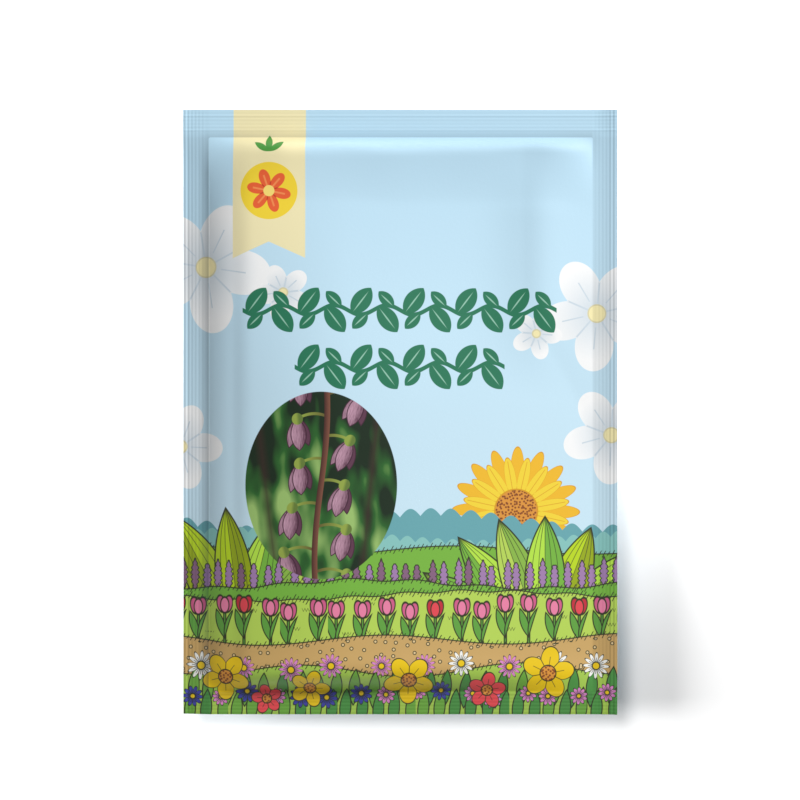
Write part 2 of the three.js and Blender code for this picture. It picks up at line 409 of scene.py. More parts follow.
def bulb(name, low, high, turn):
    """A bulb on its basal plate, in the room of its solid."""
    size = (high.z - low.z) / (BULB_HEIGHT * MM)
    shape = bmesh.new()
    corners = [shape.verts.new((x, 0, z)) for x, z in BULB_SIDE]
    side = [shape.edges.new(pair) for pair in zip(corners, corners[1:])]
    whole = {"angle": 2 * pi, "steps": 60, "use_merge": True, "use_duplicate": False}
    axis = {"cent": (0, 0, 0), "axis": (0, 0, 1)}
    bmesh.ops.spin(shape, geom=corners + side, **axis, **whole)
    bmesh.ops.remove_doubles(shape, verts=shape.verts, dist=0.001)
    for corner in shape.verts:
        angle = atan2(corner.co.y, corner.co.x)
        joint = abs(abs(angle) - pi / 2)
        lift = corner.co.z / BULB_HEIGHT
        pinch = 1 - GROOVE_DEPTH * lift**0.5 * np.exp(-((joint / GROOVE_WIDTH) ** 2))
        ripple = 1 - FLUTE_DEPTH * (1 - cos(FLUTES * angle))
        ripple -= LOBE_DEPTH * (1 + sin(LOBES * angle + turn)) * lift
        corner.co.x *= pinch * ripple
        corner.co.y *= pinch * ripple
    for root in range(ROOTS):
        around = 2 * pi * root / ROOTS + 0.3 * sin(root * 2.4)
        out = ROOT_RING + 1.2 * sin(root * 1.7)
        lean = Matrix.Rotation(around, 4, "Z") @ Matrix.Translation((out, 0, ROOT_THICK))
        lean = lean @ Matrix.Rotation(radians(ROOT_LEAN), 4, "Y")
        ends = {"radius1": ROOT_THICK, "radius2": ROOT_THIN, "depth": ROOT_LENGTH + sin(root * 3.1)}
        bmesh.ops.create_cone(shape, segments=6, matrix=lean, cap_ends=True, **ends)
    bmesh.ops.recalc_face_normals(shape, faces=shape.faces)
    middle = ((low.x + high.x) / 2, (low.y + high.y) / 2, low.z)
    seat = Matrix.Translation(middle) @ Matrix.Rotation(radians(turn), 4, "Z") @ Matrix.Scale(size * MM, 4)
    bmesh.ops.transform(shape, matrix=seat, verts=shape.verts)
    mesh = bpy.data.meshes.new(name)
    shape.to_mesh(mesh)
    shape.free()
    mesh.shade_smooth()
    mesh.materials.append(bulb_skin(name + "_skin", middle, turn, size))
    piece = bpy.data.objects.new(name + "_scales", mesh)
    bpy.context.scene.collection.objects.link(piece)
    smooth = piece.modifiers.new("rounding", "SUBSURF")
    smooth.levels = smooth.render_levels = 2
    return piece


def join(x, y):
    """A place from two distances."""
    return x.node("ShaderNodeCombineXYZ", {}, {0: x, 1: y})


PALEST = 9.5  # the height on the bulb with the least brown skin
VEIN_DEPTH = 0.4


def bulb_skin(name, middle, turn, size):
    """Cream flesh with fine veins from plate to crown, and brown where the old skin still clings."""
    material, shader, place = start_material(name)
    sockets = {
        "Location": tuple(part / MM for part in middle),
        "Rotation": (0, 0, radians(turn)),
        "Scale": (size, size, size),
    }
    local = place.node("ShaderNodeMapping", {"vector_type": "TEXTURE"}, {"Vector": place, **sockets})
    x, y, z = local.apart()
    grain = join(y.math("ARCTAN2", x) * 9, z * 0.16)
    veins = grain.node("ShaderNodeTexNoise", {}, {"Vector": grain, "Scale": 1.3, "Detail": 4.0})
    blotch = local.node("ShaderNodeTexNoise", {}, {"Vector": local, "Scale": 0.22, "Detail": 5.0})
    streaks = veins.math("MULTIPLY_ADD", 2.4, -0.8, clamp=True)
    flesh = lay(colour(238, 228, 198), colour(208, 186, 138), streaks)
    ends = abs(z - PALEST).math("MULTIPLY_ADD", 0.2, blotch * 2.2 - 2.4, clamp=True)
    flesh = lay(flesh, colour(142, 104, 62), ends)
    crack = abs(x).math("MULTIPLY_ADD", -0.8, 1.0, clamp=True) * 0.6
    flesh = lay(flesh, colour(96, 66, 38), crack)
    sockets = {"Height": veins, "Strength": 0.35, "Distance": VEIN_DEPTH * MM}
    bump = veins.node("ShaderNodeBump", {}, sockets)
    rough = blotch.math("MULTIPLY_ADD", 0.3, 0.42)
    for name, value in (("Base Color", flesh), ("Normal", bump), ("Roughness", rough)):
        place.tree.links.new(value.socket, shader.inputs[name])
    return material


for index, turn in enumerate(TURNS):
    node = f"bulb_{index + 1}"
    scales = bulb(node, *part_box(node), turn)
    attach(scales, "root")
    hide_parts(node)


# The front web: the printed side of the packet, of the same laminate as the back. It is crimped to the
# back web along its four sides, and the bulbs and the air in the packet hold it up in between. Each form
# of its bulge has a height of its own. A reach is how far in from a seam that form is climbed.
CROWN_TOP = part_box("front_web")[1].z / MM
SHOULDER, SHOULDER_LOW, SHOULDER_REACH, SHOULDER_BOTTOM, SHOULDER_END = 4.5, 0.6, 14.5, 8, 24
SLACK, SLACK_AT_LEFT, SLACK_CORNER = 7, 20, 28  # the shoulder's reach below the top seam
BELLY, BELLY_START, BELLY_LEFT, BELLY_RIGHT, BELLY_SOFT, BELLY_BOTTOM = 5.7, 9, 40, 82, 20, 12
ROLL, ROLL_CREST, ROLL_WAVE, ROLL_FALL, ROLL_LEFT, ROLL_RIGHT = 2.5, 4.5, 0.45, 18, 28, 18
RIDGE, RIDGE_PLACE, RIDGE_REACHES, RIDGE_RIGHT, RIDGE_SOFT = 1.7, 51, (13, 60), 17, 6
SWELL, SWELL_INSET, SWELL_WAVE, SWELL_WIDTH = 0.6, 6.8, 0.5, 4.5
SWELL_BOTTOM, SWELL_LEFT, SWELL_RIGHT = 5, 12, 14

# The rows between which a form sets in, or the fall's end moves out to the seam, as insets from the top
# seam. The ridge's foot is given in heights instead.
DOWN, FALL_ROWS, RIDGE_TOP, RIDGE_FOOT = (-10, 95), (45, 110), (3, 28), (5, 40)


def ramp(inset, reach, soft):
    """A straight climb from the seam, which turns level at the reach in a bend this soft."""
    bend = np.clip(inset - reach + soft, 0, 2 * soft)
    return (np.clip(inset, 0, reach + soft) - bend**2 / (4 * soft)) / reach


def front_bulge(x, y):
    """How far the front web stands off its seams, before it is fitted to the packet's thickness."""
    left, right, top, bottom = insets(x, y)
    down = eased(top, *DOWN)
    drift = np.sin(x / 11 + 0.9) + 0.6 * np.sin(x / 5.3 + 2.1)  # the film's unevenness

    # A steep shoulder along the left seam, and from its crest a gentle fall to the right
    slack = SLACK + SLACK_AT_LEFT * eased(SLACK_CORNER - left, 0, SLACK_CORNER)
    shoulder = climb(left, SHOULDER_REACH) * climb(top, slack) * climb(bottom, SHOULDER_BOTTOM)
    end = SHOULDER_END * (1 - eased(top, *FALL_ROWS))
    fall = np.clip((right - end) / (PANEL_RIGHT - PANEL_LEFT - SHOULDER_REACH - end), 0, 1)
    bulge = (SHOULDER + SHOULDER_LOW * down) * shoulder * fall

    # The belly that the bulbs push up, low in the packet
    belly = climb(left - BELLY_START, BELLY_LEFT) * ramp(right, BELLY_RIGHT, BELLY_SOFT)
    bulge = bulge + BELLY * belly * climb(bottom, BELLY_BOTTOM) * down

    # A roll of film just below the top seam, with a wavy crest
    crest = ROLL_CREST + ROLL_WAVE * drift
    beyond = np.clip(1 - (top - crest) / ROLL_FALL, 0, 1) ** 1.4
    roll = np.where(top < crest, climb(top, crest), beyond)
    bulge = bulge + ROLL * roll * eased(left, 0, ROLL_LEFT) * climb(right, ROLL_RIGHT)

    # A flat ridge that runs down the right half and fades out above the belly
    reach = np.where(x < RIDGE_PLACE, *RIDGE_REACHES)
    ridge = np.exp(-(((x - RIDGE_PLACE) / reach) ** 2)) * ramp(right, RIDGE_RIGHT, RIDGE_SOFT)
    bulge = bulge + RIDGE * ridge * eased(y, *RIDGE_FOOT) * eased(top, *RIDGE_TOP)

    # A low swell in front of the bottom seam
    middle = SWELL_INSET + SWELL_WAVE * drift
    swell = np.exp(-(((bottom - middle) / SWELL_WIDTH) ** 2)) * climb(bottom, SWELL_BOTTOM)
    return bulge + SWELL * swell * climb(left, SWELL_LEFT) * climb(right, SWELL_RIGHT)


def front_height(x, y):
    """The outer face of the front web."""
    bulge = front_bulge(x, y)
    outside = FILM + FUSED
    return seal_height(x, y) + outside + (CROWN_TOP - SEAL_PLANE - outside) * bulge / bulge.max()


front_film = web("front_film", front_height, per_rib=6, step=1.35)


# The front's print: a garden in bands one behind another, each motif drawn over those before it. Every
# motif is a function that lays its inks over the picture so far.


def oval(flat, x, y, wide, high, turn=0.0):
    """The distance to an oval's edge, from its half-widths and its turn in degrees."""
    sockets = {"Location": (x, y, 0), "Rotation": (0, 0, radians(turn)), "Scale": (wide, high, 1)}
    local = flat.node("ShaderNodeMapping", {"vector_type": "TEXTURE"}, {"Vector": flat, **sockets})
    return local.vector("LENGTH", output=1).math("MULTIPLY_ADD", min(wide, high), -min(wide, high))


def petals(place, count, inner, outer, turn=0.0):
    """A ring of petals: the distances to its edge, to the notches and to the petals' spines."""
    x, y, _ = place.apart()
    lobe = abs(y.math("ARCTAN2", x).math("MULTIPLY_ADD", count / 2, turn).math("COSINE"))
    reach = place.vector("LENGTH", output=1)
    edge = reach - lobe.math("MULTIPLY_ADD", outer - inner, inner)
    across = reach * (2 / count)
    return edge, lobe * across, lobe.math("ARCCOSINE") * across


def row(flat, pitch, height, wander, seed):
    """The place in one cell of a row, from the cell's wandering centre, and three random lots."""
    x, y, _ = flat.apart()
    count = (x / pitch).math("FLOOR")
    noise = {"noise_dimensions": "1D"}
    lots = count.node("ShaderNodeTexWhiteNoise", noise, {"W": count + seed}, output=1).apart()
    along = x - count.math("MULTIPLY_ADD", pitch, pitch / 2) - (lots[0] - 0.5) * wander
    return join(along, y - height - (lots[1] - 0.5) * wander), lots


def skyline(flat, height, *waves):
    """How far a place is above a wavy line: each wave has a depth, a length and a start."""
    x, y, _ = flat.apart()
    line = height
    for depth, length, start in waves:
        wave = x.math("MULTIPLY_ADD", 2 * pi / length, start).math("SINE")
        line = wave.math("MULTIPLY_ADD", depth, line)
    return y - line


def scallops(flat, gap, pitch, depth):
    """The same, from a line with round bushy heads along it."""
    x = flat.apart()[0]
    return gap - abs((x * (pi / pitch)).math("SINE")) * depth


def tufts(picture, flat, gap, pitch=1.5, tall=1.0):
    """Short drawn strokes of grass along a line."""
    x = flat.apart()[0]
    slope, half_wide, uneven = 0.55, 0.17, 0.4
    stroke = gap.math("MULTIPLY_ADD", -slope, x).math("PINGPONG", pitch / 2) - half_wide
    tall = (x * 1.9).math("SINE").math("MULTIPLY_ADD", uneven * tall, tall)
    return lay(picture, OUTLINE, covers(stroke.math("MAXIMUM", abs(gap) - tall)))


def sky(flat):
    """The pale blue sky behind the whole picture, paler lower down."""
    height = flat.apart()[1].math("MULTIPLY_ADD", 1 / 140, 0.25, clamp=True)
    return lay(colour(206, 236, 251), colour(191, 228, 249), height)


def white_bloom(picture, place, size, turn):
    """A big white blossom with five petals, drawn with pale folds."""
    fold = colour(206, 220, 230)
    edge, notch, spine = petals(place, 5, 0.55 * size, size, turn)
    reach = place.vector("LENGTH", output=1)
    depth = reach.math("MULTIPLY_ADD", -1.15 / size, 0.95, clamp=True)
    picture = printed(picture, edge, lay(colour(253, 254, 254), fold, depth))
    picture = lay(picture, fold, covers(notch, 0.3) * covers(edge, -0.5))
    stroke = (spine - 0.22).math("MAXIMUM", reach - 0.62 * size)
    picture = lay(picture, fold, covers(stroke.math("MAXIMUM", 0.24 * size - reach)))
    return printed(picture, reach - 0.15 * size, colour(250, 238, 180), colour(222, 214, 170), 0.5)


def blossoms(*blooms):
    """White blossoms, each with its place, its size and its turn. The packet's edges cut some off."""

    def draw(picture, flat):
        for x, y, size, turn in blooms:
            picture = white_bloom(picture, flat.vector("SUBTRACT", (x, y, 0)), size, turn)
        return picture

    return draw


sky_blossoms = blossoms((-67, 50, 23, 0.4), (-40, 41, 10, 1.3), (68, 34, 20, 1.0), (47, 27, 9, 0.2))
low_blossoms = blossoms((-76, -12, 15, 0.1), (73, -8, 17, 0.9))

# The garland's leaves and their veins, from foot to tip, with how far a leaf's sides bulge
GARLAND_LEAVES = (((-3.0, -1.4), (3.6, 7.6), 3.2), ((2.4, -1.0), (-2.8, -6.4), 2.1))
GARLAND_VEINS = (((-2.4, -0.4), (2.6, 6.2)), ((1.9, -1.6), (-2.0, -5.3)))
VEIN_GREEN = colour(150, 200, 178)


def garland(height, reach):
    """A row of leaves that stand on alternate sides of a wavy stem."""
    pitch, stem_wave, stem_half, vein_half = 9.0, 1.6, 0.8, 0.24

    def draw(picture, flat):
        x, y, _ = flat.apart()
        count = (x / pitch).math("FLOOR")
        side = count.math("FLOORED_MODULO", 2.0).math("MULTIPLY_ADD", -2.0, 1.0)
        along = x - count.math("MULTIPLY_ADD", pitch, pitch / 2)
        place = join(along, (y - height) * side)
        bend = (along * (pi / pitch)).math("COSINE")
        shape = abs(bend.math("MULTIPLY_ADD", stem_wave, place.apart()[1])) - stem_half
        for base, tip, bulge in GARLAND_LEAVES:
            shape = shape.math("MINIMUM", leaf(place, base, tip, bulge))
        ends = abs(x) - reach
        picture = printed(picture, shape.math("MAXIMUM", ends), DEEP_GREEN)
        for base, tip in GARLAND_VEINS:
            vein = leaf(place, base, tip, vein_half).math("MAXIMUM", ends)
            picture = lay(picture, VEIN_GREEN, covers(vein))
        return picture

    return draw


PENNANT_X, PENNANT_HALF, PENNANT_END, PENNANT_SLOPE = -45, 12.5, 58.5, 0.45
BADGE_Y, BADGE_RADIUS, SPRIG_Y = 76, 9.8, 89.5


def pennant(picture, flat):
    """A pale pennant that hangs from the top edge, with a flower on a golden disc and a sprig."""
    x, y, _ = flat.apart()
    off = abs(x - PENNANT_X)
    end = off.math("MULTIPLY_ADD", -PENNANT_SLOPE, PENNANT_END) - y
    picture = printed(picture, end.math("MAXIMUM", off - PENNANT_HALF), colour(247, 236, 186))
    picture = printed(picture, disc(flat, PENNANT_X, BADGE_Y, BADGE_RADIUS), colour(249, 217, 56))
    place = flat.vector("SUBTRACT", (PENNANT_X, BADGE_Y, 0))
    bloom, notch, spine = petals(place, 6, 3.2, 7.6, 0.6)
    picture = printed(picture, bloom, colour(238, 98, 52))
    stroke = (spine - 0.3).math("MAXIMUM", place.vector("LENGTH", output=1) - 5.6)
    picture = lay(picture, colour(250, 146, 84), covers(stroke))
    picture = lay(picture, colour(196, 62, 34), covers(notch, 0.2) * covers(bloom, -0.3))
    picture = printed(picture, disc(flat, PENNANT_X, BADGE_Y, 1.9), colour(255, 226, 120))
    for out, up, bulge in ((0, 6, 1.2), (-5, 3.5, 1.1), (5, 3.5, 1.1)):
        sprig = leaf(flat, (PENNANT_X, SPRIG_Y), (PENNANT_X + out, SPRIG_Y + up), bulge)
        picture = printed(picture, sprig, colour(74, 152, 62))
    return picture


def seeds(flat):
    """The speckled heart of a flower."""
    sockets = {"Vector": flat, "Scale": 0.95}
    spots = flat.node("ShaderNodeTexVoronoi", {"voronoi_dimensions": "2D"}, sockets)
    return lay(colour(226, 152, 62), colour(138, 74, 34), covers(spots - 0.34))


def golden_bloom(picture, flat):
    """A golden bloom with two rings of petals, which rises behind the hedge."""
    middle, heart = (40, -34), 7.4
    place = flat.vector("SUBTRACT", (*middle, 0))
    amber, gold, line = colour(246, 190, 44), colour(250, 218, 60), colour(222, 158, 36)
    picture = printed(picture, petals(place, 16, 12, 22, 0.2)[0], amber, line)
    edge, notch, spine = petals(place, 16, 9, 18.5, 1.77)
    picture = printed(picture, edge, gold, line)
    picture = lay(picture, line, covers(notch.math("MINIMUM", spine), 0.1) * covers(edge, -1.2))
    return printed(picture, disc(flat, *middle, heart), seeds(flat), line, 0.5)


def hedge(picture, flat):
    """Two rows of bluish bushes far off."""
    far = scallops(flat, skyline(flat, -38.5, (3.0, 118, 1.0)), 7.0, 2.6)
    picture = printed(picture, far, colour(106, 170, 178))
    near = scallops(flat, skyline(flat, -43.5, (2.4, 150, 3.4)), 5.2, 2.0)
    picture = printed(picture, near, colour(138, 200, 194))
    ground = skyline(flat, -47.5, (1.6, 96, 0.4))
    picture = printed(picture, ground, TURF_GREEN, OUTLINE)
    return tufts(picture, flat, ground)


def clump(base, leaves):
    """A clump of broad leaves that spread from one foot, each folded along its middle.

    A leaf has its tip, how far its sides bulge, and the colours of its two halves.
    """
    strips = 6.0

    def draw(picture, flat):
        for tip, half_wide, pale, deep in leaves:
            near, far = blade(flat, base, tip, half_wide)
            wide = near + far
            across = near / wide
            fill = lay(pale, deep, across.math("GREATER_THAN", 0.5))
            vein = (across * strips).math("PINGPONG", 0.5) * wide * (-1 / strips)
            fill = lay(fill, OUTLINE, covers(vein, 0.1))
            picture = printed(picture, near.math("MAXIMUM", far), fill, OUTLINE, 0.5)
        return picture

    return draw


# The greens of the leaves and the lawn
LIME, OLIVE = colour(190, 221, 30), colour(153, 174, 16)
FRESH, MEADOW = colour(184, 232, 74), colour(120, 184, 66)
SOFT_GREEN, MOSS = colour(185, 217, 90), colour(140, 186, 74)
left_clump = clump((-54, -80), (
    ((-99, -62), 6.5, OLIVE, LIME), ((-30, -47), 6.0, MOSS, SOFT_GREEN), ((-92, -46), 7.5, LIME, OLIVE),
    ((-44, -37), 6.5, FRESH, MEADOW), ((-78, -36), 7.5, OLIVE, LIME), ((-14, -60), 6.0, LIME, OLIVE),
    ((-60, -33), 6.5, LIME, OLIVE),
))
right_clump = clump((50, -82), (
    ((88, -62), 7.0, MEADOW, FRESH), ((8, -55), 6.0, FRESH, MEADOW), ((84, -47), 7.5, FRESH, MEADOW),
    ((20, -43), 6.5, MEADOW, FRESH), ((66, -40), 7.0, LIME, OLIVE), ((34, -37), 6.5, SOFT_GREEN, MOSS),
    ((50, -36), 7.0, FRESH, MEADOW),
))


def grass_marks(picture, flat, low, high):
    """Small drawn tufts, scattered over a lawn."""
    steep, half_line, half_wide = 2.2, 0.16, 1.5
    sockets = {"Vector": flat, "Scale": 0.125, "Randomness": 0.8}
    middle = flat.node("ShaderNodeTexVoronoi", {"voronoi_dimensions": "2D"}, sockets, output=2)
    x, y, _ = flat.vector("SUBTRACT", middle).apart()
    blades = abs(y - x.math("PINGPONG", 0.5) * steep) - half_line
    stroke = blades.math("MAXIMUM", abs(x) - half_wide)
    height = flat.apart()[1]
    stroke = stroke.math("MAXIMUM", height - high).math("MAXIMUM", low - height)
    return lay(picture, OUTLINE, covers(stroke))


def lawn(picture, flat):
    """The lawn that the tulips stand on, with a darker strip behind."""
    back = skyline(flat, -59.0, (1.8, 120, 2.2), (0.5, 23, 0.0))
    picture = printed(picture, back, MEADOW, OUTLINE)
    picture = tufts(picture, flat, back)
    front = skyline(flat, -63.0, (1.6, 150, 0.6), (0.4, 19, 1.0))
    picture = printed(picture, front, SOFT_GREEN, OUTLINE)
    picture = tufts(picture, flat, front, 1.3, 1.2)
    return grass_marks(picture, flat, -76.0, -65.0)


def lavender(picture, flat):
    """A row of lavender spikes, each a stack of rings of florets."""
    place, lots = row(flat, pitch=4.3, height=-56.5, wander=1.8, seed=11.0)
    x, y, _ = place.apart()
    stem = (abs(x) - 0.25).math("MAXIMUM", y)
    picture = lay(picture, colour(64, 112, 52), covers(stem))
    taper = (y * 0.17).math("POWER", 2.0).math("MULTIPLY_ADD", -1.0, 1.0)
    wide = abs((y * 1.9).math("SINE")).math("MULTIPLY_ADD", 0.6, 0.9) * taper
    tall = lots[1].math("MULTIPLY_ADD", 2.0, 4.4)
    fill = lay(colour(136, 100, 128), colour(164, 128, 176), lots[2].math("GREATER_THAN", 0.45))
    spike = (abs(x) - wide).math("MAXIMUM", abs(y) - tall)
    return printed(picture, spike, fill, OUTLINE)


def tulips(picture, flat):
    """A row of tulips, red and pink, with two leaves at the foot of each."""
    place, lots = row(flat, pitch=8.2, height=-69.0, wander=2.6, seed=23.0)
    x, y, _ = place.apart()
    stem = (abs(x) - 0.4).math("MAXIMUM", y)
    picture = printed(picture, stem, colour(92, 156, 60), OUTLINE)
    for way in (-1, 1):
        side_leaf = leaf(place, (0, -9.5), (way * 3.0, 0.2), 1.3, -0.1 if way > 0 else 1.3)
        picture = printed(picture, side_leaf, colour(98, 164, 66), OUTLINE)
    pink = lots[2].math("GREATER_THAN", 0.5)
    fill = lay(colour(232, 74, 84), colour(238, 132, 168), pink)
    shade = lay(colour(198, 46, 62), colour(214, 96, 140), pink)
    for across, turn in ((-1.25, 10), (1.25, -10)):
        picture = printed(picture, oval(place, across, 2.2, 1.5, 2.9, turn), shade, OUTLINE)
    return printed(picture, oval(place, 0, 1.8, 1.5, 2.7), fill, OUTLINE)


def soil(picture, flat):
    """The soil in front of the tulips, with small stones."""
    top = skyline(flat, -78.0, (1.8, 88, 2.0))
    picture = printed(picture, top, colour(206, 168, 104), OUTLINE)
    sockets = {"Vector": flat, "Scale": 0.24}
    stones = flat.node("ShaderNodeTexVoronoi", {"voronoi_dimensions": "2D"}, sockets)
    gap = stones.math("MULTIPLY_ADD", 4.2, -0.55).math("MAXIMUM", top + 1.0)
    picture = printed(picture, gap, colour(232, 204, 150), OUTLINE, 0.3)
    return tufts(picture, flat, top)


def front_bed(picture, flat):
    """The green of the bed in front, with its leaves."""
    top = skyline(flat, -88.5, (2.2, 74, 4.4))
    picture = printed(picture, top, colour(168, 206, 84), OUTLINE)
    picture = tufts(picture, flat, top)
    for pitch, height, seed in ((6.3, -95.0, 31.0), (5.4, -102.0, 37.0)):
        place, lots = row(flat, pitch, height, wander=1.6, seed=seed)
        fill = lay(colour(78, 148, 70), colour(112, 172, 66), lots[2].math("GREATER_THAN", 0.5))
        picture = printed(picture, leaf(place, (0, -7), (1.2, 6.5), 1.9), fill, OUTLINE)
    return picture


def flower(picture, place, shape, fill, heart, turn):
    """One drawn flower: its petals with their strokes, and its heart.

    The shape is the count of petals, the radii of their notches and tips, and the heart's radius.
    """
    count, inner, outer, heart_radius = shape
    edge, notch, spine = petals(place, count, inner, outer, turn)
    reach = place.vector("LENGTH", output=1)
    picture = printed(picture, edge, fill, OUTLINE)
    strokes = (spine - 0.1).math("MAXIMUM", reach - 0.62 * outer).math("MINIMUM", notch - 0.14)
    picture = lay(picture, OUTLINE, covers(strokes.math("MAXIMUM", edge)))
    return printed(picture, reach - heart_radius, heart, OUTLINE)


def flower_row(cells, shape, fills, heart):
    """A row of flowers of one shape, in two colours and many sizes."""

    def draw(picture, flat):
        place, lots = row(flat, *cells)
        place = place.vector("MULTIPLY", lots[2].math("MULTIPLY_ADD", 0.35, 0.9))
        fill = lay(*fills, lots[2].math("GREATER_THAN", 0.5))
        return flower(picture, place, shape, fill, heart, lots[0] * 6)

    return draw


# The inks of the bed's flowers, its two rows of flowers, and its biggest ones, each in its own place
YELLOW, CORAL, WHITE = colour(240, 202, 12), colour(238, 78, 84), colour(250, 250, 244)
PINK, BLUE = colour(226, 140, 204), colour(66, 70, 168)
daisies = flower_row((15.0, -87.0, 3.0, 3.0), (12, 1.8, 4.6, 1.3), (WHITE, PINK), YELLOW)
asters = flower_row((9.6, -97.5, 3.4, 15.0), (10, 2.2, 3.6, 0.9), (BLUE, PINK), YELLOW)
BIG_FLOWERS = (
    (-60, -91, 8.4, YELLOW), (-31, -95, 7.0, YELLOW), (3, -92, 8.8, YELLOW),
    (30, -96, 6.6, CORAL), (51, -90, 9.2, YELLOW), (-46, -99, 5.4, CORAL),
)


def big_flowers(picture, flat):
    """The biggest flowers of the bed, with five petals and a speckled heart."""
    for x, y, size, fill in BIG_FLOWERS:
        place = flat.vector("SUBTRACT", (x, y, 0))
        shape = (5, 0.56 * size, size, 0.3 * size)
        picture = flower(picture, place, shape, fill, seeds(place), x * 0.3)
    return picture


# The medallion: its middle and half-sizes, two dim stems far off with their places, leans and softness,
# and how far apart the bells hang on one side of the stem, with the right side lower by the shift
MEDALLION, MEDALLION_HALF = (-27, -25), (26, 32)
FAR_STEMS = ((-19, 0.12, 2.4), (17, -0.1, 2.0))
TIER, TIER_SHIFT, TIER_START = 15.2, 7.4, 4.6

# A stalk arches up to its crest and down to the bell. A tepal has its tip, its foot, how far its sides
# bulge and how light it is.
STALK_CREST, STALK_HEIGHT, STALK_BEND, STALK_HALF = 5.6, 13.9, 0.05, 0.5
BELL_OUT, BELL_UP = 11.4, 11.6
TEPALS = (
    ((-3.4, -9.0), (-0.7, 0.4), 1.7, 0.0), ((3.4, -9.0), (0.7, 0.4), 1.7, 0.0),
    ((-0.2, -10.4), (0.1, 0.6), 2.6, 0.42),
)


def medallion(picture, flat):
    """An upright oval picture of nodding plum-coloured bells on one stem, out in a green garden."""
    rim = oval(flat, *MEDALLION, *MEDALLION_HALF)
    place = flat.vector("SUBTRACT", (*MEDALLION, 0))
    x, y, _ = place.apart()
    sockets = {"Vector": place.vector("MULTIPLY", (1.5, 0.6, 1)), "Scale": 0.075, "Detail": 1.5}
    blur = place.node("ShaderNodeTexNoise", {"noise_dimensions": "2D"}, sockets)
    light = (blur - 0.5).math("MULTIPLY_ADD", 2.9, (y * -0.014) + 0.34)
    glade = light.math("MULTIPLY_ADD", 2.2, -0.2, clamp=True)
    garden = lay(colour(16, 42, 20), colour(48, 108, 46), glade)
    glade = light.math("MULTIPLY_ADD", 1.8, -0.85, clamp=True)
    garden = lay(garden, colour(158, 196, 112), glade)
    for start, lean, soft in FAR_STEMS:
        far_stem = abs(y.math("MULTIPLY_ADD", lean, x) - start)
        dusk = far_stem.math("MULTIPLY_ADD", -1 / soft, 1.0, clamp=True) * 0.75
        garden = lay(garden, colour(58, 40, 34), dusk)
    x = x - (y * 0.06).math("SINE") * 2.2
    right = x.math("GREATER_THAN", 0.0)
    way = right.math("MULTIPLY_ADD", 2.0, -1.0)
    high = right.math("MULTIPLY_ADD", TIER_SHIFT, y) + TIER_START
    tier = (high / TIER).math("FLOOR")
    up = high - tier * TIER
    noise = {"noise_dimensions": "1D"}
    seed = right.math("MULTIPLY_ADD", 40.0, tier)
    lots = tier.node("ShaderNodeTexWhiteNoise", noise, {"W": seed + 7.3}, output=1).apart()
    out = abs(x) + lots[0] * 3.6
    arch = (out - STALK_CREST).math("POWER", 2.0).math("MULTIPLY_ADD", -STALK_BEND, STALK_HEIGHT)
    green, umber = colour(150, 170, 74), colour(86, 52, 40)
    stalk = (abs(up - arch) - STALK_HALF).math("MAXIMUM", out - BELL_OUT).math("MAXIMUM", 0.4 - abs(x))
    garden = printed(garden, stalk, lay(umber, green, (out * 0.1).math("MINIMUM", 1.0)))
    bark = lay(colour(70, 38, 34), colour(132, 84, 66), (x * 0.5 + 0.5).math("MINIMUM", 1.0))
    garden = printed(garden, abs(x) - 1.0, bark)
    bell = join(out - BELL_OUT, up - BELL_UP)
    tilt = lots[1].math("MULTIPLY_ADD", 0.45, -0.1)
    turned = {"rotation_type": "Z_AXIS"}
    bell = bell.node("ShaderNodeVectorRotate", turned, {"Vector": bell, "Angle": tilt})
    lit = bell.apart()[0] * way
    sockets = {"Vector": bell.vector("MULTIPLY", (3.0, 0.4, 1)), "Scale": 0.9, "Detail": 2.0}
    fine = bell.node("ShaderNodeTexNoise", {"noise_dimensions": "2D"}, sockets)
    for tip, foot, bulge, tone in TEPALS:
        tepal = leaf(bell, foot, tip, bulge)
        glow = lit.math("MULTIPLY_ADD", -0.16, tone) + (fine - 0.5) * 0.9 + tepal * -0.12
        glow = glow.math("MAXIMUM", 0.06).math("MINIMUM", 1.0)
        plum = lay(colour(84, 42, 66), colour(206, 160, 182), glow)
        garden = printed(garden, tepal, plum, colour(66, 34, 52), 0.3)
    cap = lay(green, colour(104, 128, 58), lit + 0.4)
    garden = printed(garden, oval(bell, 0, 0.5, 1.9, 2.0), cap)
    return lay(picture, garden, covers(rim))


# The whole picture: its motifs in the order in which they are laid, each with its lowest and highest
# place. The print is made in bands of the web, and a band holds only the motifs that reach it.
PICTURE = (
    (sky_blossoms, 14, 76),
    (garland(35.0, 54), 24, 46),
    (garland(15.5, 36), 5, 26),
    (pennant, 50, 105),
    (low_blossoms, -30, 12),
    (golden_bloom, -60, -8),
    (hedge, -105, -30),
    (left_clump, -84, -34),
    (right_clump, -84, -34),
    (lavender, -68, -48),
    (lawn, -105, -54),
    (tulips, -84, -62),
    (soil, -105, -74),
    (front_bed, -110, -80),
    (daisies, -95, -78),
    (asters, -106, -90),
    (big_flowers, -106, -80),
    (medallion, -58, 8),
)
BANDS = ((-110, -84), (-84, -62), (-62, -34), (-34, 8), (8, 110))
NEAR_BAND = 2  # a motif that ends this near a band is drawn in it too


def print_band(name, low, high):
    """The print of one band, with all the motifs that reach into it."""
    material, shader, place = start_material(name)
    flat = flattened(place)
    picture = sky(flat)
    for motif, bottom, top in PICTURE:
        if bottom < high + NEAR_BAND and top > low - NEAR_BAND:
            picture = motif(picture, flat)
    finish_film(shader, place, picture)
    return material


